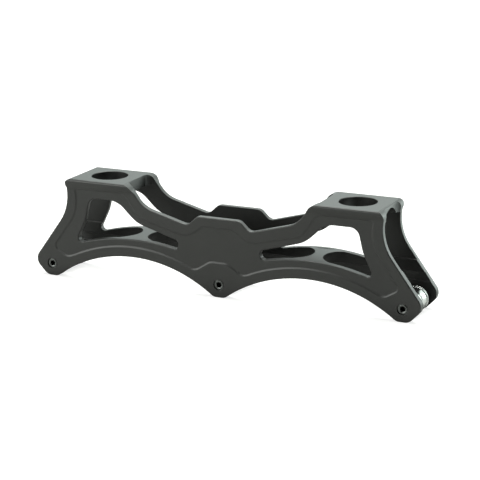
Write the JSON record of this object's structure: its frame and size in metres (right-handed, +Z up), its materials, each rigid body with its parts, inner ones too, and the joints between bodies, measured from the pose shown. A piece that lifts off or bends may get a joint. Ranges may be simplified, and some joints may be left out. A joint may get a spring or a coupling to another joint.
{
  "type": "inline skate frame",
  "caption": "Inline skate frame: a one-piece channel body with flared boot platforms, cut-out windows, through axles and loose spacer spools between its plates.",
  "frame": {"origin": "middle of the footprint, on the surface that the axle bosses stand on", "axes": "+X along the skate towards the toe, +Y across it towards the axle heads, +Z up to the boot"},
  "size_m": [0.2584, 0.0376, 0.0652],
  "materials": {
    "black_anodised_body": "blasted and anodised black, matte",
    "dark_steel_axle": "blackened, satin",
    "bright_spool": "turned and polished"
  },
  "bodies": {
    "frame": {"chassis": "black_anodised_body", "axle_rear": "dark_steel_axle", "axle_middle": "dark_steel_axle", "axle_front": "dark_steel_axle"},
    "spool_rear": {"spool_rear": "bright_spool"},
    "spool_middle": {"spool_middle": "bright_spool"},
    "spool_front": {"spool_front": "bright_spool"}
  },
  "joints": [
    {"name": "spool_rear_spin", "type": "hinge", "parent": "frame", "child": "spool_rear", "pos_m": [-0.118, 0, 0.008], "axis": [0, 1, 0], "continuous": true},
    {"name": "spool_middle_spin", "type": "hinge", "parent": "frame", "child": "spool_middle", "pos_m": [0, 0, 0.008], "axis": [0, 1, 0], "continuous": true},
    {"name": "spool_front_spin", "type": "hinge", "parent": "frame", "child": "spool_front", "pos_m": [0.118, 0, 0.008], "axis": [0, 1, 0], "continuous": true}
  ]
}
